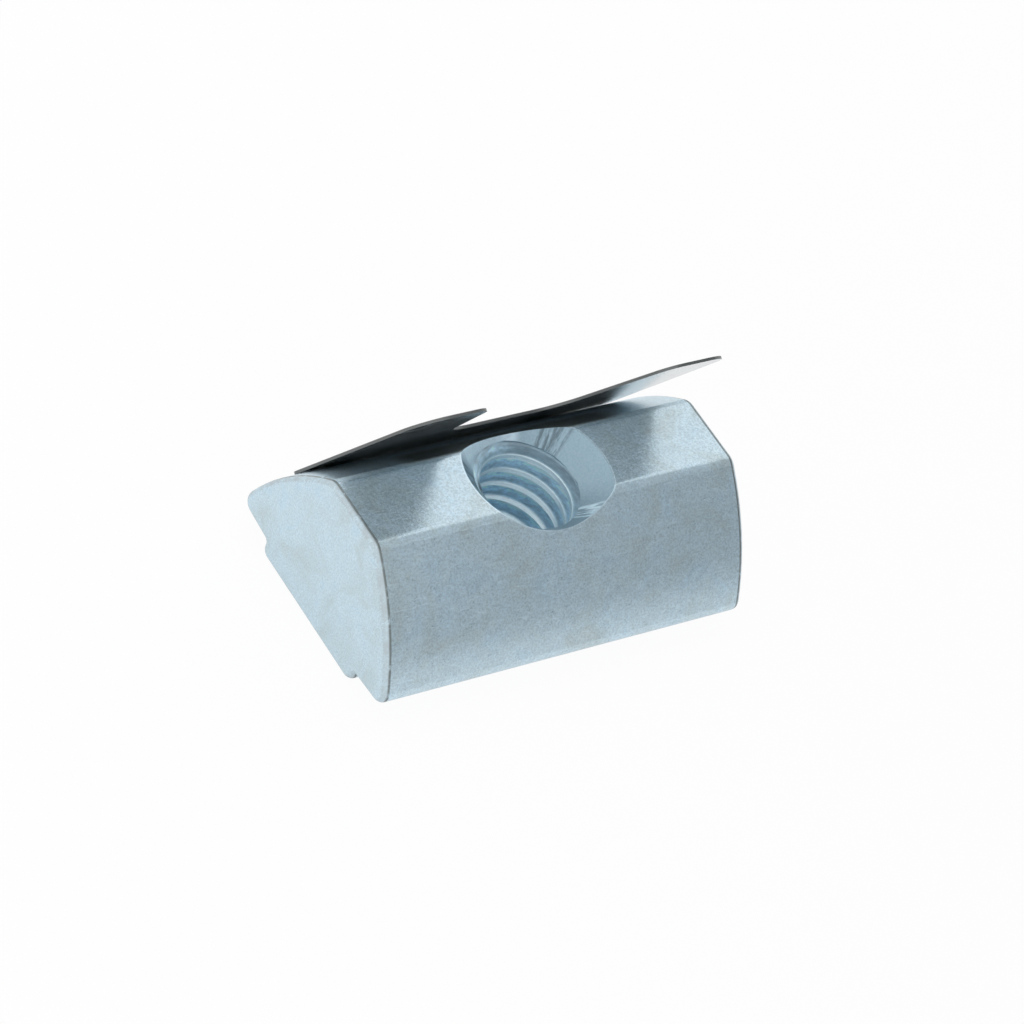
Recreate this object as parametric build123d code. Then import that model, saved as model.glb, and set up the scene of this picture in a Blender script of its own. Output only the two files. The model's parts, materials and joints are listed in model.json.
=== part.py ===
from build123d import *
from math import asin, cos, degrees, hypot, radians, sin, sqrt, tan
import os

# T-slot nut with a spring leaf, for a slot 8 mm wide and an M6 screw.
# Millimetres.  X runs along the slot, Y across it, Z from the slot's mouth to its floor.
# The origin is on the thread's axis, in the flat face of the collar.

# --- nut: the drawn bar's section -------------------------------------------
nut_length = 22.0
nut_height = 7.55
collar_width = 8.6
collar_height = 0.76
collar_edge_radius = 0.55
step_radius = 0.15
shoulder_width = 13.82
shoulder_fall = 0.22
shoulder_corner_radius = 0.65
back_width = 4.04
back_corner_radius = 0.9
flank_radius = 14.2
end_edge_radius = 0.35

# --- nut: the tapped hole ---------------------------------------------------
thread_diameter = 6.0
back_sink_diameter = 7.9
mouth_sink_diameter = 6.6
sink_angle = 90.0

# --- leaf: a flat spring that stands off the far flank -----------------------
sheet_thickness = 0.15
leaf_angle = 59.5
leaf_reach = 11.7
leaf_root_width = 19.2
leaf_tip_width = 18.9
leaf_corner_radius = 1.7
notch_height = 4.85
notch_root_width = 6.9
notch_mouth_width = 10.8
notch_root_radius = 2.0
notch_corner_radius = 1.1
foot_depth = 2.0
foot_inset = 1.4
heel_radius = 0.7
foot_corner_radius = 0.4
seat_gap = 0.02

# --- stakes: pips of the nut's own steel that hold the leaf's foot -----------
stake_spacing = 12.0
stake_drop = 1.0
stake_shank_diameter = 1.4
stake_head_diameter = 2.1
stake_head_height = 0.3
stake_clearance = 0.03

margin = 1.0


def arc_centre():
    """Centre of the +Y flank's arc, from the two ends of the arc and its radius."""
    low = (shoulder_width / 2, collar_height + shoulder_fall)
    high = (back_width / 2, nut_height)
    chord = hypot(high[0] - low[0], high[1] - low[1])
    along = ((high[0] - low[0]) / chord, (high[1] - low[1]) / chord)
    depth = sqrt(flank_radius**2 - (chord / 2) ** 2)
    middle = ((low[0] + high[0]) / 2, (low[1] + high[1]) / 2)
    return middle[0] - along[1] * depth, middle[1] + along[0] * depth


def on_flank(angle, offset=0.0):
    """Point (y, z) at an angle above +Y round the flank's arc, moved out by an offset."""
    centre = arc_centre()
    reach = flank_radius + offset
    return centre[0] + reach * cos(radians(angle)), centre[1] + reach * sin(radians(angle))


def lift_angle():
    """Angle round the flank's arc at which the leaf leaves it, straight along the tangent."""
    return 90.0 - leaf_angle


def rounded(sketch, half_width, level, radius):
    """Round the two corners of a sketch that lie at plus and minus a half width, on one level."""
    corners = [
        vertex
        for vertex in sketch.vertices()
        if abs(abs(vertex.X) - half_width) < 1e-4 and abs(vertex.Y - level) < 1e-4
    ]
    return fillet(corners, radius)


def body_section():
    """The bar's section: collar, shoulders, convex flanks and flat back, drawn in (y, z)."""
    collar = collar_width / 2
    shoulder = shoulder_width / 2
    shoulder_level = collar_height + shoulder_fall
    back = back_width / 2
    rising = Polyline((0, 0), (collar, 0), (collar, collar_height), (shoulder, shoulder_level))
    flank = RadiusArc((shoulder, shoulder_level), (back, nut_height), -flank_radius)
    closing = Polyline((back, nut_height), (0, nut_height), (0, 0))
    half = make_face(rising.edges() + flank.edges() + closing.edges())
    section = half + mirror(half, Plane.YZ)
    section = rounded(section, shoulder, shoulder_level, shoulder_corner_radius)
    section = rounded(section, back, nut_height, back_corner_radius)
    section = rounded(section, collar, 0, collar_edge_radius)
    return rounded(section, collar, collar_height, step_radius)


def sink(diameter, level, upwards):
    """Cone that opens the thread's hole out to a diameter at one level."""
    slope = 1 / tan(radians(sink_angle / 2))
    radius = diameter / 2
    wide = radius + margin / slope
    depth = radius * slope
    cone = Cone(0, wide, depth + margin, align=(Align.CENTER, Align.CENTER, Align.MIN))
    if upwards:
        return Pos(0, 0, level - depth) * cone
    return Pos(0, 0, level + depth) * Rot(180, 0, 0) * cone


def stake_place():
    """Frame on the flank for a stake: its Z points straight out of the flank."""
    angle = lift_angle() - degrees(asin(stake_drop / flank_radius))
    foot = on_flank(angle)
    return Pos(0, foot[0], foot[1]) * Rot(angle - 90.0, 0, 0)


def stake():
    """One upset pip: a shank through the sheet and a low domed head over it."""
    rise = seat_gap + sheet_thickness + stake_clearance
    base = (Align.CENTER, Align.CENTER, Align.MIN)
    shank = Pos(0, 0, -margin / 2) * Cylinder(stake_shank_diameter / 2, rise + margin / 2, align=base)
    head = Pos(0, 0, rise) * Cylinder(stake_head_diameter / 2, stake_head_height, align=base)
    rim = head.edges().sort_by(Axis.Z)[-1]
    return shank + fillet(rim, stake_head_height * 0.8)


def stake_pair(piece):
    """The same piece at both stakes along the leaf's foot."""
    half = stake_spacing / 2
    return [Pos(x, 0, 0) * stake_place() * piece for x in (-half, half)]


def nut_body():
    """The bar cut to length with rounded ends, tapped through, with the stakes on one flank."""
    bar = extrude(Plane.YZ * body_section(), nut_length / 2, both=True)
    ends = bar.faces().filter_by(Axis.X)
    bar = fillet(ends.edges(), end_edge_radius)
    bar -= Pos(0, 0, nut_height / 2) * Cylinder(thread_diameter / 2, nut_height + 2 * margin)
    bar -= sink(back_sink_diameter, nut_height, True)
    bar -= sink(mouth_sink_diameter, 0, False)
    for pip in stake_pair(stake()):
        bar += pip
    return bar


def leaf_section():
    """Side view of the sheet in (y, z): a foot that hugs the flank and a straight leaf."""
    lift = lift_angle()
    low = lift - degrees(foot_depth / flank_radius)
    up = (-sin(radians(lift)), cos(radians(lift)))
    centre = arc_centre()
    inner = flank_radius + seat_gap
    outer = inner + sheet_thickness
    inner_root = on_flank(lift, seat_gap)
    outer_root = on_flank(lift, seat_gap + sheet_thickness)
    inner_tip = (inner_root[0] + up[0] * leaf_reach, inner_root[1] + up[1] * leaf_reach)
    outer_tip = (outer_root[0] + up[0] * leaf_reach, outer_root[1] + up[1] * leaf_reach)
    inner_foot = CenterArc(centre, inner, low, lift - low)
    outer_foot = CenterArc(centre, outer, low, lift - low)
    heel = Line(inner_foot @ 0, outer_foot @ 0)
    blade = Polyline(inner_foot @ 1, inner_tip, outer_tip, outer_foot @ 1)
    return make_face([inner_foot, outer_foot, heel] + list(blade.edges()))


def leaf_blank():
    """Outline of the sheet along X and up the slope: a foot, and two ears beside a notch."""
    root = leaf_root_width / 2
    foot = root - foot_inset
    tip = leaf_tip_width / 2
    notch = notch_root_width / 2
    mouth = notch_mouth_width / 2
    below = -foot_depth - margin
    half = Polyline(
        (0, below),
        (foot, below),
        (foot, 0),
        (root, 0),
        (tip, leaf_reach),
        (mouth, leaf_reach),
        (notch, notch_height),
        (0, notch_height),
        (0, below),
    )
    half = make_face(half)
    blank = half + mirror(half, Plane.YZ)
    blank = rounded(blank, root, 0, heel_radius)
    blank = rounded(blank, foot, 0, foot_corner_radius)
    blank = rounded(blank, tip, leaf_reach, leaf_corner_radius)
    blank = rounded(blank, mouth, leaf_reach, notch_corner_radius)
    return rounded(blank, notch, notch_height, notch_root_radius)


def spring_leaf():
    """The sheet: its side view drawn out along X, trimmed to the blank, with two stake holes."""
    sheet = extrude(Plane.YZ * leaf_section(), leaf_root_width / 2 + margin, both=True)
    root = on_flank(lift_angle())
    slope = Plane(
        origin=(0, root[0], root[1]),
        x_dir=(1, 0, 0),
        z_dir=(0, -cos(radians(lift_angle())), -sin(radians(lift_angle()))),
    )
    sheet &= extrude(slope * leaf_blank(), 2 * margin, both=True)
    hole = Cylinder(stake_shank_diameter / 2 + stake_clearance, 2 * margin)
    for opening in stake_pair(hole):
        sheet -= opening
    return sheet


os.makedirs("parts", exist_ok=True)
export_step(nut_body(), "parts/nut_body.step")
export_step(spring_leaf(), "parts/spring_leaf.step")
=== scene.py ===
import json
import math

import bmesh
import bpy
import numpy as np
from bpy.props import FloatProperty, FloatVectorProperty, IntProperty, PointerProperty
from mathutils import Matrix, Vector


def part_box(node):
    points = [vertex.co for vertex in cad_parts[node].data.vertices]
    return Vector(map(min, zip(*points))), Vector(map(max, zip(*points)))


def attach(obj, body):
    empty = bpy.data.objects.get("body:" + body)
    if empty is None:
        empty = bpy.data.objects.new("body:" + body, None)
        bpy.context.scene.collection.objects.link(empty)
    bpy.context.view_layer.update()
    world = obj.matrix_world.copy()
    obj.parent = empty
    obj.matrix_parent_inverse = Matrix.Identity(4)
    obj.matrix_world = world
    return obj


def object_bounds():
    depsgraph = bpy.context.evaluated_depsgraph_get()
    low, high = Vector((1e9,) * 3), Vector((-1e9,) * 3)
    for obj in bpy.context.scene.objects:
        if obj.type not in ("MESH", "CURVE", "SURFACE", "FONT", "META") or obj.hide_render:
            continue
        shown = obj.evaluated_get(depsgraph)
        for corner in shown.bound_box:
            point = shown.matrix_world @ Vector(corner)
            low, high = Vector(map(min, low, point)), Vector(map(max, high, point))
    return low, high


bl_info = {
    "name": "T-slot nut with a spring leaf",
    "version": (1, 0, 0),
    "blender": (4, 5, 0),
    "location": "3D View > Sidebar > T-slot nut",
    "description": "Cuts the thread, finishes the plated body and the spring leaf, and sets the stage",
    "category": "Object",
}

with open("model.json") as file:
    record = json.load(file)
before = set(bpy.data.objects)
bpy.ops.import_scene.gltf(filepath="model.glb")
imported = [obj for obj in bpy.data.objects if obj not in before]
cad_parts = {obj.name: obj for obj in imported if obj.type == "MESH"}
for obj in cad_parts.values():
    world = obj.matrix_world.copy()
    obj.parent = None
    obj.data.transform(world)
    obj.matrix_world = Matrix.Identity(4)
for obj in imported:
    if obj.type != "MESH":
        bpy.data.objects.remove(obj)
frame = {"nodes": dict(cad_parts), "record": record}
CAD_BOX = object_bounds()
BODY_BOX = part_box("nut_body")
MM = 0.001


def mount(name):
    """The record's mount of that name."""
    for entry in frame["record"]["mounts"]:
        if entry["name"] == name:
            return entry
    raise RuntimeError(f"the record has no mount named {name}")


THREAD = mount("thread")
BORE_RADIUS = THREAD["dims"]["r_mm"] * MM
BORE_LENGTH = THREAD["dims"]["length_mm"] * MM
BORE_BOTTOM = THREAD["pos_m"][2]
BORE_TOP = BORE_BOTTOM + BORE_LENGTH

# The thread's form: the crest's flat as a share of the pitch, the angle of a flank from square to
# the axis, and how much a sine eases the flank's ends, as a share of the thread's depth.
CREST_FLAT = 1 / 4
FLANK_ANGLE = math.radians(30)
EASING = 0.06

# The leaf's blade stands at 59.5 degrees, so its faces look this far above +Y and below -Y.
SHEET_TILT = math.radians(90 - 59.5)

# Wedges of the sink's cone that are stained dark, and those with a painted highlight, where the cone is
# painted lighter. Each has the direction of its middle from +X, and half its width, in degrees.
STAINED_WEDGES = ((41, 14), (167, 12))
GLINT_WEDGES = ((-52, 11), (112, 46))

# Units of the hole's patterns in a metre along Z. Round the axis the patterns follow a circle of
# radius 1, so a low rate draws them out down the cone, and a high one round the thread.
TOOL_MARK_AND_GLINT_RATE = 60.0
SMUDGE_RATE = 2400.0

# Points of a new mesh nearer than this are merged, and edges sharper than this stay sharp.
MERGE_DISTANCE = 1e-8
SHARP_ANGLE = math.radians(35)

# The stage. Every size and place here is a number of times the diagonal of the part's box.
FLOOR_WIDTH = 80
CARD_RADIUS = 2.3
CARD_ENDS = (0.5, 5)
CARD_TURN = math.radians(92)
TOP_LAMP_SIZE = 4
TOP_LAMP_PLACE = (1.0, 1.0, 5.0)
SIDE_LAMP_SIZE = 3
SIDE_LAMP_PLACE = (-5.0, 1.5, 1.8)

FLOOR_GAP = 0.01 * MM
SENSOR_WIDTH = 36.0
WHITE = (1, 1, 1, 1)


# --- sizes and colours that a user would change ------------------------------


class ThreadSettings(bpy.types.PropertyGroup):
    """Sizes of the thread and of its mesh"""

    pitch: FloatProperty(
        name="Pitch", description="Rise of the thread in one turn", default=1.0 * MM, unit="LENGTH"
    )
    crest_radius: FloatProperty(
        name="Crest radius",
        description="Radius at the inner edge of the thread",
        default=2.46 * MM,
        unit="LENGTH",
    )
    root_gap: FloatProperty(
        name="Root gap",
        description="How far the thread's root stays inside the bore's wall",
        default=0.01 * MM,
        unit="LENGTH",
    )
    first_crest: FloatProperty(
        name="First crest",
        description="Height of a crest at the side towards +X",
        default=0.54 * MM,
        unit="LENGTH",
    )
    columns: IntProperty(name="Columns", description="Steps in one turn", default=288)
    rows: IntProperty(name="Rows", description="Steps across one pitch", default=24)


class PlatingSettings(bpy.types.PropertyGroup):
    """Colours and grain of the zinc plating"""

    colour: FloatVectorProperty(
        name="Zinc",
        description="Base colour of the plating",
        default=(0.60, 0.75, 0.835),
        size=3,
        subtype="COLOR",
    )
    film: FloatVectorProperty(
        name="Warm film",
        description="Colour of the faint warm patches",
        default=(0.50, 0.57, 0.56),
        size=3,
        subtype="COLOR",
    )
    blue: FloatVectorProperty(
        name="Blue film",
        description="Colour of the faint blue patches",
        default=(0.56, 0.76, 0.89),
        size=3,
        subtype="COLOR",
    )
    rim: FloatVectorProperty(
        name="Dull rim",
        description="Colour of the rounded edges round the ends",
        default=(0.50, 0.58, 0.62),
        size=3,
        subtype="COLOR",
    )
    cut: FloatVectorProperty(
        name="Cut zinc",
        description="Colour in the machined sink and on the thread's flanks",
        default=(0.30, 0.43, 0.51),
        size=3,
        subtype="COLOR",
    )
    # The thread root's colour is light: painted light that lifts the shade deep in the thread.
    root: FloatVectorProperty(
        name="Thread root",
        description="Colour deep in the thread, where the zinc is thickest",
        default=(0.74, 0.91, 1.0),
        size=3,
        subtype="COLOR",
    )
    # The thread crest's colour is lighter than the plating: a painted highlight on the crests.
    crest: FloatVectorProperty(
        name="Thread crest",
        description="Colour of the rubbed crests of the thread",
        default=(0.78, 0.93, 1.0),
        size=3,
        subtype="COLOR",
    )
    roughness: FloatProperty(
        name="Roughness", description="Mean roughness of the plating", default=0.2, min=0.0, max=1.0
    )
    grain: FloatProperty(
        name="Grain", description="Size of the plating's fine grain", default=0.11 * MM, unit="LENGTH"
    )
    relief: FloatProperty(
        name="Relief", description="Height of the plating's fine grain", default=0.011 * MM, unit="LENGTH"
    )


class LeafSettings(bpy.types.PropertyGroup):
    """Colours and gloss of the spring leaf"""

    colour: FloatVectorProperty(
        name="Spring steel",
        description="Base colour of the sheet",
        default=(0.535, 0.59, 0.615),
        size=3,
        subtype="COLOR",
    )
    edge: FloatVectorProperty(
        name="Cut edge",
        description="Colour of the sheet's cut edge",
        default=(0.17, 0.18, 0.18),
        size=3,
        subtype="COLOR",
    )
    roughness: FloatProperty(
        name="Roughness", description="Mean roughness of the rolled sheet", default=0.09, min=0.0, max=1.0
    )


class StageSettings(bpy.types.PropertyGroup):
    """The camera, the lamps, the floor and the card"""

    azimuth: FloatProperty(
        name="Azimuth",
        description="Side the camera stands on, turned from -Y towards -X",
        default=math.radians(-51.908),
        subtype="ANGLE",
    )
    elevation: FloatProperty(
        name="Elevation",
        description="Angle of the camera above the floor",
        default=math.radians(42.551),
        subtype="ANGLE",
    )
    roll: FloatProperty(
        name="Roll",
        description="Turn of the camera about its own view",
        default=math.radians(27.212),
        subtype="ANGLE",
    )
    distance: FloatProperty(
        name="Distance",
        description="From the camera to the point that it aims at",
        default=216.65 * MM,
        unit="LENGTH",
    )
    lens: FloatProperty(
        name="Lens", description="Focal length on a sensor 36 mm wide", default=157.87, min=1.0
    )
    aim: FloatVectorProperty(
        name="Aim",
        description="The point aimed at, from the origin of the part",
        default=(-0.957 * MM, -0.495 * MM, 5.286 * MM),
        size=3,
        subtype="TRANSLATION",
    )
    daylight: FloatProperty(
        name="Daylight", description="Strength of the plain surround", default=0.9, min=0.0
    )
    top_lamp: FloatProperty(
        name="Top lamp", description="Power of the lamp overhead", default=0.03, unit="POWER"
    )
    side_lamp: FloatProperty(
        name="Side lamp", description="Power of the lamp at the left", default=0.004, unit="POWER"
    )
    floor_white: FloatProperty(
        name="Floor white", description="Share of pure white in the floor as it is seen", default=0.95
    )
    floor_mirrored: FloatProperty(
        name="Floor mirrored",
        description="Share of pure white in the floor as the metal mirrors it",
        default=0.7,
    )
    card_shade: FloatProperty(
        name="Card shade",
        description="Grey of the card that the near flank mirrors",
        default=0.53,
        min=0.0,
        max=1.0,
    )


# --- shader maths ------------------------------------------------------------


class Sum:
    """A node socket that takes part in Python sums: each operator adds one Math node."""

    def __init__(self, finish, socket):
        self.finish = finish
        self.socket = socket

    def maths(self, operation, *others):
        """A Math node with this socket first and the others after it."""
        values = dict(enumerate((self,) + others))
        node = self.finish.node("ShaderNodeMath", {"operation": operation}, values)
        return Sum(self.finish, node.outputs[0])

    def reflected(self, operation, other):
        """A Math node with the other value first and this socket second."""
        node = self.finish.node("ShaderNodeMath", {"operation": operation}, {0: other, 1: self})
        return Sum(self.finish, node.outputs[0])

    def __add__(self, other):
        return self.maths("ADD", other)

    __radd__ = __add__

    def __sub__(self, other):
        return self.maths("SUBTRACT", other)

    def __rsub__(self, other):
        return self.reflected("SUBTRACT", other)

    def __mul__(self, other):
        return self.maths("MULTIPLY", other)

    __rmul__ = __mul__

    def __truediv__(self, other):
        return self.maths("DIVIDE", other)

    def __rtruediv__(self, other):
        return self.reflected("DIVIDE", other)

    def __pow__(self, other):
        return self.maths("POWER", other)

    def __rpow__(self, other):
        return self.reflected("POWER", other)

    def __abs__(self):
        return self.maths("ABSOLUTE")

    def highest(self, other):
        return self.maths("MAXIMUM", other)

    def lowest(self, other):
        return self.maths("MINIMUM", other)

    def ramp(self, start, end):
        """0 below start and 1 above end, with a smooth rise between them."""
        values = {"Value": self, "From Min": start, "From Max": end}
        node = self.finish.node("ShaderNodeMapRange", {"interpolation_type": "SMOOTHSTEP"}, values)
        return Sum(self.finish, node.outputs[0])


class Finish:
    """The nodes of a material or a world. Its node method adds every node but those of a new tree."""

    def __init__(self, owner, shader="Principled BSDF", output="Material Output"):
        owner.use_nodes = True
        self.owner = owner
        self.tree = owner.node_tree
        self.shader = self.tree.nodes[shader]
        self.output = self.tree.nodes[output]

    def put(self, socket, value):
        """Links or sets one input socket."""
        if isinstance(value, Sum):
            value = value.socket
        if isinstance(value, bpy.types.NodeSocket):
            self.tree.links.new(value, socket)
        else:
            socket.default_value = value

    def node(self, kind, settings=None, values=None):
        """Adds a node, makes its settings first, then sets or links its sockets."""
        node = self.tree.nodes.new(kind)
        for name, value in (settings or {}).items():
            setattr(node, name, value)
        for key, value in (values or {}).items():
            self.put(node.inputs[key], value)
        return node

    def place(self):
        """The point on the surface, in the part's own frame, in metres."""
        return self.node("ShaderNodeTexCoord").outputs["Object"]

    def vector(self, x, y, z):
        """A vector put together from its three parts."""
        return self.node("ShaderNodeCombineXYZ", None, {0: x, 1: y, 2: z}).outputs[0]

    def axes(self, vector):
        """The three parts of a vector."""
        node = self.node("ShaderNodeSeparateXYZ", None, {0: vector})
        return [Sum(self, socket) for socket in node.outputs]

    def facing(self):
        """The three parts of the surface's own direction."""
        return self.axes(self.node("ShaderNodeNewGeometry").outputs["Normal"])

    def stretched(self, turn, scale):
        """The place, turned and scaled, for a pattern that runs one way."""
        values = {"Vector": self.place(), "Rotation": turn, "Scale": scale}
        return self.node("ShaderNodeMapping", None, values).outputs[0]

    def noise(self, size, detail=2.0, rough=0.5, vector=None, warp=0.0):
        """Soft noise from 0 to 1, whose features are about one size across, in metres."""
        values = {"Vector": vector or self.place(), "Scale": 1.0 / size, "Detail": detail}
        values.update({"Roughness": rough, "Distortion": warp})
        return Sum(self, self.node("ShaderNodeTexNoise", None, values).outputs[0])

    def blend(self, mask, low, high):
        """A colour that goes from low to high as the mask goes from 0 to 1."""
        values = {"Factor": mask, 6: self.colour(low), 7: self.colour(high)}
        return self.node("ShaderNodeMix", {"data_type": "RGBA"}, values).outputs[2]

    def dimmed(self, tone, amount):
        """A colour times an amount."""
        settings = {"data_type": "RGBA", "blend_type": "MULTIPLY"}
        values = {"Factor": 1.0, 6: self.colour(tone), 7: amount}
        return self.node("ShaderNodeMix", settings, values).outputs[2]

    def colour(self, value):
        """A colour with its fourth part added, or a socket as it is."""
        if isinstance(value, bpy.types.NodeSocket):
            return value
        return (value[0], value[1], value[2], 1.0)

    def bump(self, height, depth):
        """Feeds the shader's normal with a height from 0 to 1 that stands for a depth in metres."""
        node = self.node("ShaderNodeBump", None, {"Height": height, "Distance": depth, "Strength": 1.0})
        self.put(self.shader.inputs["Normal"], node.outputs[0])

    def surface(self, **values):
        """Sets or links the shader's sockets, whose names are given with underscores."""
        for name, value in values.items():
            self.put(self.shader.inputs[name.replace("_", " ")], value)

    def swap(self, mask, other):
        """Shows another shader's node in place of the tree's own where the mask is 1."""
        shaders = {0: mask, 1: self.shader.outputs[0], 2: other.outputs[0]}
        mix = self.node("ShaderNodeMixShader", None, shaders)
        self.put(self.output.inputs["Surface"], mix.outputs[0])

    def rays(self):
        """Three masks: 1 for camera rays, for rays that metal mirrors, and for rays through glass."""
        outputs = self.node("ShaderNodeLightPath").outputs
        names = ("Is Camera Ray", "Is Glossy Ray", "Is Transmission Ray")
        return [Sum(self, outputs[name]) for name in names]


def new_finish(name):
    """A new material, with its shader and its output only."""
    return Finish(bpy.data.materials.new(name))


def clothe(piece, finish):
    """Gives a piece that one material."""
    piece.data.materials.clear()
    piece.data.materials.append(finish.owner)


# --- meshes ------------------------------------------------------------------


def grid_faces(rows, columns):
    """Quads of an open grid of points, row after row."""
    row, column = np.meshgrid(np.arange(rows - 1), np.arange(columns - 1), indexing="ij")
    first = (row * columns + column).ravel()
    return np.column_stack([first, first + 1, first + columns + 1, first + columns])


def new_piece(name, points, faces):
    """Makes a mesh object from arrays, merges the points that meet and turns its faces outwards."""
    mesh = bpy.data.meshes.new(name)
    mesh.from_pydata(points.tolist(), [], faces.tolist())
    shape = bmesh.new()
    shape.from_mesh(mesh)
    bmesh.ops.remove_doubles(shape, verts=shape.verts, dist=MERGE_DISTANCE)
    bmesh.ops.dissolve_degenerate(shape, edges=shape.edges, dist=MERGE_DISTANCE)
    bmesh.ops.recalc_face_normals(shape, faces=shape.faces)
    shape.to_mesh(mesh)
    shape.free()
    mesh.polygons.foreach_set("use_smooth", np.ones(len(mesh.polygons), dtype=bool))
    mesh.set_sharp_from_angle(angle=SHARP_ANGLE)
    piece = bpy.data.objects.new(name, mesh)
    bpy.context.scene.collection.objects.link(piece)
    return piece


def thread_radius(height, turn, thread):
    """Radius of the threaded wall at a height and a turn round the axis.

    Across one pitch the wall is a crest flat a quarter of the pitch wide, two flanks at 30 degrees,
    eased by a sine where they turn, and a root. The sinks at both ends are cones at 45 degrees,
    which the wall carries on down to the crests: it is the wider of the thread and the cones.
    """
    pitch = thread.pitch
    root = BORE_RADIUS - thread.root_gap
    skin = BORE_RADIUS - 0.3 * thread.root_gap
    phase = (height - thread.first_crest) / pitch - turn / (2 * math.pi)
    off_crest = np.abs(phase - np.round(phase)) * pitch
    rise = (off_crest - pitch * CREST_FLAT / 2) / math.tan(FLANK_ANGLE)
    depth = root - thread.crest_radius
    share = np.clip(rise / depth, 0, 1)
    eased = share - EASING * np.sin(2 * math.pi * share)
    wall = thread.crest_radius + depth * eased
    upper_cone = skin - (BORE_TOP - height)
    lower_cone = skin - (height - BORE_BOTTOM)
    return np.maximum(wall, np.maximum(upper_cone, lower_cone))


def thread_surface(thread):
    """The thread as a closed ring: an inner wall that follows the helix and a hidden outer wall.

    The inner wall's rows run along the helix, at height = pitch * turn / (2 pi) + step, and are
    held between the ends of the bore. The outer wall lies just inside the steel.
    """
    bottom = BORE_BOTTOM - 2 * thread.root_gap
    top = BORE_TOP + 2 * thread.root_gap
    turn = np.linspace(0, 2 * math.pi, thread.columns + 1)
    steps = np.arange(-thread.rows, int((top - bottom) / thread.pitch * thread.rows) + 2)
    start = bottom + steps * thread.pitch / thread.rows
    height = start[:, None] + thread.pitch * turn[None, :] / (2 * math.pi)
    height = np.clip(height, bottom, top)
    turns = np.broadcast_to(turn, height.shape)
    radius = thread_radius(height, turns, thread)
    outer = BORE_RADIUS + 4 * thread.root_gap
    ring = np.ones_like(turn)
    height = np.vstack([height, ring * top, ring * bottom, ring * bottom])
    radius = np.vstack([radius, ring * outer, ring * outer, radius[0] * ring])
    turns = np.broadcast_to(turn, height.shape)
    points = np.stack([radius * np.cos(turns), radius * np.sin(turns), height], axis=-1)
    return points.reshape(-1, 3), grid_faces(*height.shape)


# --- finishes ----------------------------------------------------------------


def tinted(colour, factor):
    """A colour with its three parts times a factor."""
    return [part * factor for part in colour]


def end_edges(x, lean):
    """Two masks on the rounded edges round the end faces.

    The first is 1 on the dull rim, where the surface turns from the flank to the end, and the
    second along a thin darker line, where the turn starts. Lean is how far the surface faces along X.
    """
    end = BODY_BOX[1].x
    near_end = abs(x).ramp(end - 0.5 * MM, end - 0.3 * MM)
    rim = near_end * lean.ramp(0.1, 0.25) * (1.0 - lean.ramp(0.9, 0.98))
    dark_line = near_end * lean.ramp(0.03, 0.1) * (1.0 - lean.ramp(0.25, 0.45))
    return rim, dark_line


def leaf_shade_of(x, y, z):
    """1 on the flank just under the spring leaf: painted shade in the narrow gap."""
    under_leaf = y.ramp(2.0 * MM, 2.2 * MM) * z.ramp(6.0 * MM, 6.6 * MM)
    return under_leaf * (1.0 - abs(x).ramp(5.5 * MM, 7.0 * MM))


def scratches(finish, turn, length, width, share):
    """Thin straight scratches: noise drawn out along one direction and kept only at its peaks."""
    drawn = finish.stretched(turn, (width / length, 1.0, 1.0))
    streaks = finish.noise(width, 1.0, 0.4, drawn, warp=0.15)
    return streaks.ramp(1.0 - share, 1.04 - share)


def wedge(x, y, radius, direction, half_width):
    """1 in a wedge round the hole, given in degrees, with soft sides: the cosine from its middle."""
    middle = math.radians(direction)
    toward = (x * math.cos(middle) + y * math.sin(middle)) / radius
    return toward.ramp(math.cos(math.radians(half_width)), math.cos(math.radians(half_width * 0.7)))


def hole_masks(finish, x, y, z, facing, crest_radius):
    """Masks inside the hole: the sink's cone, its lip, the thread, the marks of the tools, the wedges of
    painted highlight on the cone, and the painted shade on the top turn.

    The cones are where radius and height differ by a constant and the surface faces both inwards
    and along Z. The thread is inside the bore's radius, and its crests are near the crest radius.
    """
    radius = (x * x + y * y) ** 0.5
    across, along, up = facing
    inward = (along * y + across * x) / radius * -1.0
    slanted = ((inward + abs(up)) * math.sqrt(0.5)).ramp(0.86, 0.96)
    off_upper = abs(radius - z + (BORE_TOP - BORE_RADIUS))
    off_lower = abs(radius + z - (BORE_BOTTOM + BORE_RADIUS))
    off_cone = off_upper.lowest(off_lower)
    near = (1.0 - off_cone.ramp(0.02 * MM, 0.06 * MM)) * radius.ramp(2.3 * MM, 2.4 * MM)
    cone = near * slanted
    thread = (1.0 - radius.ramp(BORE_RADIUS, BORE_RADIUS + 0.02 * MM)) * (1.0 - near)
    off_crest = radius.ramp(crest_radius + 0.01 * MM, crest_radius + 0.05 * MM)
    off_lip = off_cone.ramp(0.04 * MM, 0.1 * MM)
    round_x = x / radius
    round_y = y / radius
    streaks = finish.noise(0.05, 3.0, 0.65, finish.vector(round_x, round_y, z * TOOL_MARK_AND_GLINT_RATE))
    smudge = finish.noise(0.2, 4.0, 0.65, finish.vector(round_x, round_y, z * SMUDGE_RATE))
    stains = [wedge(x, y, radius, *place) for place in STAINED_WEDGES]
    glints = [wedge(x, y, radius, *place) for place in GLINT_WEDGES]
    dark = stains[0].highest(stains[1]) * streaks.ramp(0.38, 0.58)
    pale = (glints[0] * streaks.ramp(0.42, 0.56)).highest(glints[1])
    return {
        "cone": cone,
        "lip": (1.0 - off_lip) * (1.0 - slanted) * radius.ramp(3.1 * MM, 3.2 * MM),
        "flank": thread * off_crest,
        "crest": thread * (1.0 - off_crest),
        "smudge": smudge,
        "depth": radius.ramp(crest_radius + 0.05 * MM, BORE_RADIUS),
        "shaded": z.ramp(BORE_TOP - 1.1 * MM, BORE_TOP - 0.7 * MM) * x.ramp(-0.5 * MM, 1.2 * MM),
        "dark_marks": dark * cone,
        "pale_marks": pale * cone,
    }


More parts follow.
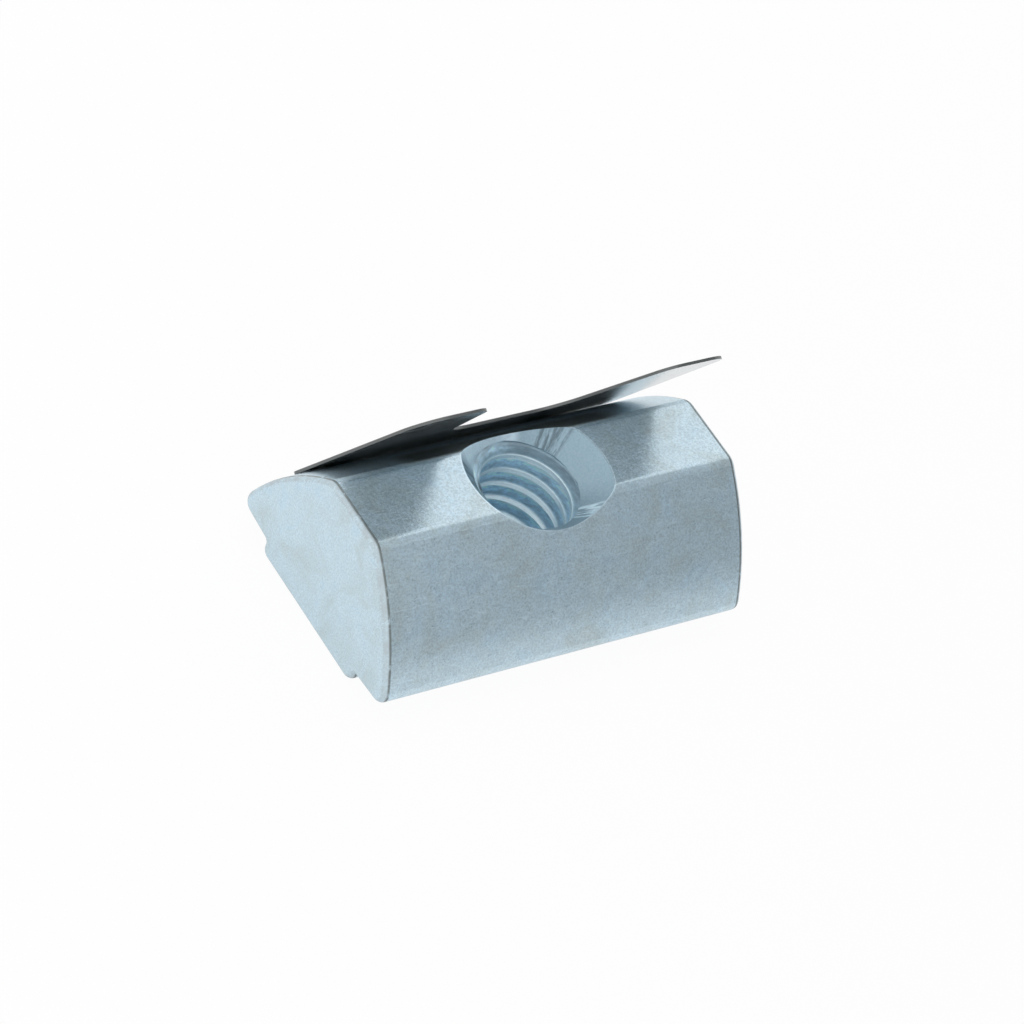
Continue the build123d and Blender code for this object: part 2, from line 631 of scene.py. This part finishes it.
def hole_tone(finish, plating, hole, tone, grains, mottle):
    """The plating's tone with the cut metal of the hole laid over it, and painted light and shade:
    lighter deep in the thread and on the crests, painted highlights on the sink's cone and lip, and
    painted shade on the top turn.
    """
    cut = plating.cut
    # Painted light and shade on the flanks: dark near the crests and light deep in the thread, where
    # shade falls.
    flank = finish.blend(hole["depth"], tinted(cut, 1.15), plating.root)
    flank = finish.dimmed(flank, hole["smudge"].ramp(0.3, 0.7) * 0.45 + 0.97)
    flank = finish.blend(hole["shaded"] * 0.6, flank, tinted(cut, 0.75))
    # Painted highlight: the crests are lighter than the plating.
    crest = finish.dimmed(plating.crest, hole["smudge"].ramp(0.3, 0.6) * 0.12 + 0.9)
    specks = hole["crest"] * grains.ramp(0.6, 0.68)
    stains = (hole["dark_marks"] * 0.75).highest(specks * 0.5)
    tone = finish.blend(hole["flank"], tone, flank)
    tone = finish.blend(hole["crest"], tone, crest)
    tone = finish.blend(hole["cone"] * (0.25 + grains * 1.3), tone, cut)
    # Painted highlight: the glint wedges of the sink's cone are painted lighter.
    tone = finish.blend(hole["pale_marks"] * (0.4 + mottle), tone, tinted(plating.colour, 1.25))
    tone = finish.blend(stains, tone, tinted(cut, 0.35))
    # Painted highlight: the sink's lip is painted lighter, over its rounding in the bump.
    return finish.blend(hole["lip"] * 0.8, tone, tinted(plating.colour, 1.2))


def zinc(plating, crest_radius):
    """Satin zinc: grain under faint warm and blue films, dull rims, cut metal in the hole, and painted
    light and shade in the hole, on the rounded edges and under the leaf.
    """
    finish = new_finish("zinc_satin")
    x, y, z = finish.axes(finish.place())
    facing = finish.facing()
    end, side, back = [abs(part) for part in facing]
    hole = hole_masks(finish, x, y, z, facing, crest_radius)
    grains = finish.noise(plating.grain, 5.0, 0.75)
    mottle = finish.noise(plating.grain * 4, 3.0, 0.6, warp=0.6)
    film = finish.noise(plating.grain * 22, 3.0, 0.6, warp=0.8)

    patches = film * 0.75 + mottle * 0.25
    tone = finish.blend(patches.ramp(0.48, 0.66) * 0.45, plating.colour, plating.film)
    tone = finish.blend((1.0 - patches.ramp(0.35, 0.49)) * 0.45, tone, plating.blue)

    speckle = (grains * 0.8 + mottle * 0.2).ramp(0.36, 0.64)
    contrast = 0.32 - end.ramp(0.9, 0.98) * 0.12
    # Painted shade: the rounded edges next to the top and bottom faces are dimmed a little and made
    # rougher, to soften their highlight.
    ridge = back.ramp(0.8, 0.86) * (1.0 - back.ramp(0.96, 0.99))
    tone = finish.dimmed(tone, (speckle - 0.5) * contrast + 0.98 - ridge * 0.1)

    rim, dark_line = end_edges(x, end)
    rim = rim * mottle.ramp(0.25, 0.7)
    dark_line = dark_line * mottle.ramp(0.2, 0.5) * 0.85
    cuts = scratches(finish, (0.2, 0.9, 0.4), 0.9 * MM, 0.06 * MM, 0.31)
    # Painted shade on the flank under the spring leaf.
    leaf_shade = leaf_shade_of(x, y, z) * (1.0 - hole["cone"]) * 0.9
    tone = finish.blend(rim, tone, plating.rim)
    tone = finish.blend(cuts * 0.55, tone, tinted(plating.colour, 1.2))
    tone = hole_tone(finish, plating, hole, tone, grains, mottle)
    # Painted shade under the leaf, and the thin darker line at the ends' edges, both in a dark warm tone.
    tone = finish.blend(dark_line.highest(leaf_shade), tone, tinted(plating.film, 0.3))

    rough = plating.roughness + (grains - 0.5) * 0.14 + (mottle - 0.5) * 0.08 + rim * 0.12
    rough = rough + side.ramp(0.1, 0.5) * 0.1 + ridge * 0.3
    rough = rough + hole["flank"] * 0.3 + hole["crest"] * 0.2 + hole["cone"] * 0.15
    finish.surface(Base_Color=tone, Metallic=0.8, Roughness=rough)
    height = grains * 0.6 + mottle * 0.4 - cuts * 0.3 - hole["dark_marks"] * 0.8 - hole["lip"] * 1.2
    finish.bump(height, plating.relief)
    return finish


def spring_steel(leaf):
    """Bright rolled sheet with fine lines along the strip, light scratches, and a rougher cut edge
    darkened with painted shade.
    """
    finish = new_finish("spring_steel")
    lines = finish.noise(0.05 * MM, 3.0, 0.6, finish.stretched((0, 0, 0), (0.02, 1.0, 1.0)))
    film = finish.noise(2.4 * MM, 3.0, 0.55)
    cuts = scratches(finish, (0.1, 0.0, 0.12), 3.0 * MM, 0.08 * MM, 0.3)
    out, up = finish.facing()[1:]
    face = abs(out * math.cos(SHEET_TILT) + up * math.sin(SHEET_TILT))
    cut = 1.0 - face.ramp(0.55, 0.85)
    rolled = film.ramp(0.3, 0.75) * 0.6 + lines * 0.4
    tone = finish.blend(rolled, leaf.colour, tinted(leaf.colour, 0.82))
    tone = finish.blend(cuts * 0.5, tone, tinted(leaf.colour, 1.4))
    # Painted shade: the sheet's cut edge is painted dark, and it is rougher too.
    tone = finish.blend(cut, tone, leaf.edge)
    rough = leaf.roughness + (lines - 0.5) * 0.06 + (film - 0.5) * 0.04 + cut * 0.3 + cuts * 0.3
    finish.surface(Base_Color=tone, Metallic=0.82, Roughness=rough)
    finish.bump(lines, 0.002 * MM)
    return finish


# --- operators ---------------------------------------------------------------


class FinishBody(bpy.types.Operator):
    """Plates the nut body with satin zinc"""

    bl_idname = "tslot.finish_body"
    bl_label = "Nut body"

    def execute(self, context):
        scene = context.scene
        finish = zinc(scene.tslot_plating, scene.tslot_thread.crest_radius)
        clothe(frame["nodes"]["nut_body"], finish)
        return {"FINISHED"}


class CutThread(bpy.types.Operator):
    """Lines the bore with the helical thread"""

    bl_idname = "tslot.cut_thread"
    bl_label = "Thread"

    def execute(self, context):
        points, faces = thread_surface(context.scene.tslot_thread)
        piece = new_piece("thread_ridges", points, faces)
        piece.data.materials.append(frame["nodes"]["nut_body"].data.materials[0])
        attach(piece, "root")
        return {"FINISHED"}


class FinishLeaf(bpy.types.Operator):
    """Gives the spring leaf its rolled finish"""

    bl_idname = "tslot.finish_leaf"
    bl_label = "Spring leaf"

    def execute(self, context):
        clothe(frame["nodes"]["spring_leaf"], spring_steel(context.scene.tslot_leaf))
        return {"FINISHED"}


def aim_camera(stage):
    """Camera on a sphere round the aim point, rolled about its own view."""
    flat = math.cos(stage.elevation)
    back = Vector(
        (
            math.sin(stage.azimuth) * flat,
            -math.cos(stage.azimuth) * flat,
            math.sin(stage.elevation),
        )
    )
    data = bpy.data.cameras.new("camera")
    data.sensor_width = SENSOR_WIDTH
    data.lens = stage.lens
    data.clip_start = stage.distance * 0.05
    data.clip_end = stage.distance * 20
    camera = bpy.data.objects.new("camera", data)
    camera.rotation_mode = "QUATERNION"
    level = (-back).to_track_quat("-Z", "Y")
    camera.rotation_quaternion = level @ Matrix.Rotation(stage.roll, 3, "Z").to_quaternion()
    camera.location = Vector(stage.aim) + back * stage.distance
    bpy.context.scene.collection.objects.link(camera)
    bpy.context.scene.camera = camera


def lamp(name, power, size, place, target):
    """A square area lamp that faces a target and isn't mirrored itself."""
    data = bpy.data.lights.new(name, "AREA")
    data.energy = power
    data.size = size
    light = bpy.data.objects.new(name, data)
    light.visible_glossy = False
    light.location = place
    light.rotation_mode = "QUATERNION"
    light.rotation_quaternion = (Vector(target) - place).to_track_quat("-Z", "Y")
    bpy.context.scene.collection.objects.link(light)


def white_floor(seen, mirrored):
    """Pale floor with a share of pure white as it is seen, and another as the metal mirrors it."""
    finish = new_finish("floor_white")
    clouds = finish.noise(0.4, 2.0).ramp(0.3, 0.7)
    tone = finish.blend(clouds, (0.86, 0.86, 0.86), (0.88, 0.88, 0.88))
    finish.surface(Base_Color=tone, Roughness=0.9)
    glow = finish.node("ShaderNodeEmission", None, {"Color": WHITE, "Strength": 1.0})
    direct, glossy, through = finish.rays()
    finish.swap((direct * seen).highest(glossy.highest(through) * mirrored), glow)
    return finish


def grey_card(shade):
    """Plain, slightly cool grey card with a faint grain."""
    finish = new_finish("card_grey")
    grain = finish.noise(2.0 * MM, 2.0)
    cool = (shade * 0.98, shade * 1.03, shade * 1.07)
    tone = finish.blend(grain, tinted(cool, 0.97), tinted(cool, 1.03))
    finish.surface(Base_Color=tone, Roughness=0.9)
    return finish


def surround(strength):
    """Plain pale surround, pure white where it is seen directly, in a mirror or through glass."""
    world = bpy.data.worlds.new("surround")
    bpy.context.scene.world = world
    sky = Finish(world, "Background", "World Output")
    sky.surface(Color=WHITE, Strength=strength)
    white = sky.node("ShaderNodeBackground", None, {"Color": WHITE})
    direct, glossy, through = sky.rays()
    sky.swap(direct.highest(glossy).highest(through), white)


def stage_sheet(name, points):
    """A stage piece from a grid of points."""
    sheet = new_piece(name, points.reshape(-1, 3), grid_faces(*points.shape[:2]))
    return sheet


def floor_points(width, level):
    """A square at one level, as a grid over X and Y."""
    side = np.linspace(-width / 2, width / 2, 3)
    across, along = np.meshgrid(side, side, indexing="ij")
    return np.stack([across, along, np.full_like(across, level)], axis=-1)


def card_points(reach, level):
    """A card bent round the X axis like a quarter of a pipe, from the floor in front to overhead.

    Y is -radius times the cosine of the turn, and Z is the level plus radius times its sine.
    """
    across = np.linspace(CARD_ENDS[0] * reach, CARD_ENDS[1] * reach, 3)
    turn = np.linspace(0, CARD_TURN, 25)
    across, turn = np.meshgrid(across, turn, indexing="ij")
    radius = CARD_RADIUS * reach
    return np.stack([across, -radius * np.cos(turn), level + radius * np.sin(turn)], axis=-1)


class SetStage(bpy.types.Operator):
    """Lays the floor and sets the camera and the lamps"""

    bl_idname = "tslot.set_stage"
    bl_label = "Stage"

    def execute(self, context):
        stage = context.scene.tslot_stage
        reach = (CAD_BOX[1] - CAD_BOX[0]).length
        level = CAD_BOX[0].z - FLOOR_GAP
        floor = stage_sheet("floor", floor_points(FLOOR_WIDTH * reach, level))
        # An open sheet has no outside, so its faces may have been turned downwards.
        if floor.data.polygons[0].normal.z < 0:
            floor.data.flip_normals()
        clothe(floor, white_floor(stage.floor_white, stage.floor_mirrored))
        card = stage_sheet("side_card", card_points(reach, level))
        card.visible_camera = False
        clothe(card, grey_card(stage.card_shade))
        surround(stage.daylight)
        above = Vector(TOP_LAMP_PLACE) * reach
        beside = Vector(SIDE_LAMP_PLACE) * reach
        lamp("top_lamp", stage.top_lamp, TOP_LAMP_SIZE * reach, above, stage.aim)
        lamp("side_lamp", stage.side_lamp, SIDE_LAMP_SIZE * reach, beside, stage.aim)
        aim_camera(stage)
        context.scene.view_settings.view_transform = "Standard"
        return {"FINISHED"}


class NutPanel(bpy.types.Panel):
    """Lists the pieces of the nut and its stage"""

    bl_idname = "VIEW3D_PT_tslot"
    bl_label = "T-slot nut"
    bl_space_type = "VIEW_3D"
    bl_region_type = "UI"
    bl_category = "T-slot nut"

    def draw(self, context):
        for group_name in SETTINGS:
            group = getattr(context.scene, group_name)
            for name in group.bl_rna.properties.keys():
                if name not in ("rna_type", "name"):
                    self.layout.prop(group, name)
        for operator in OPERATORS:
            self.layout.operator(operator.bl_idname)


SETTINGS = {
    "tslot_thread": ThreadSettings,
    "tslot_plating": PlatingSettings,
    "tslot_leaf": LeafSettings,
    "tslot_stage": StageSettings,
}
OPERATORS = (FinishBody, CutThread, FinishLeaf, SetStage)


def register():
    """Registers the settings, the operators and the panel."""
    for name, group in SETTINGS.items():
        bpy.utils.register_class(group)
        setattr(bpy.types.Scene, name, PointerProperty(type=group))
    for entry in OPERATORS + (NutPanel,):
        bpy.utils.register_class(entry)


def unregister():
    """Takes the panel, the operators and the settings away again."""
    for entry in (NutPanel,) + OPERATORS[::-1]:
        bpy.utils.unregister_class(entry)
    for name, group in SETTINGS.items():
        delattr(bpy.types.Scene, name)
        bpy.utils.unregister_class(group)


def main():
    """Makes every piece and the stage."""
    register()
    bpy.ops.tslot.finish_body()
    bpy.ops.tslot.cut_thread()
    bpy.ops.tslot.finish_leaf()
    bpy.ops.tslot.set_stage()


if __name__ == "__main__":
    main()
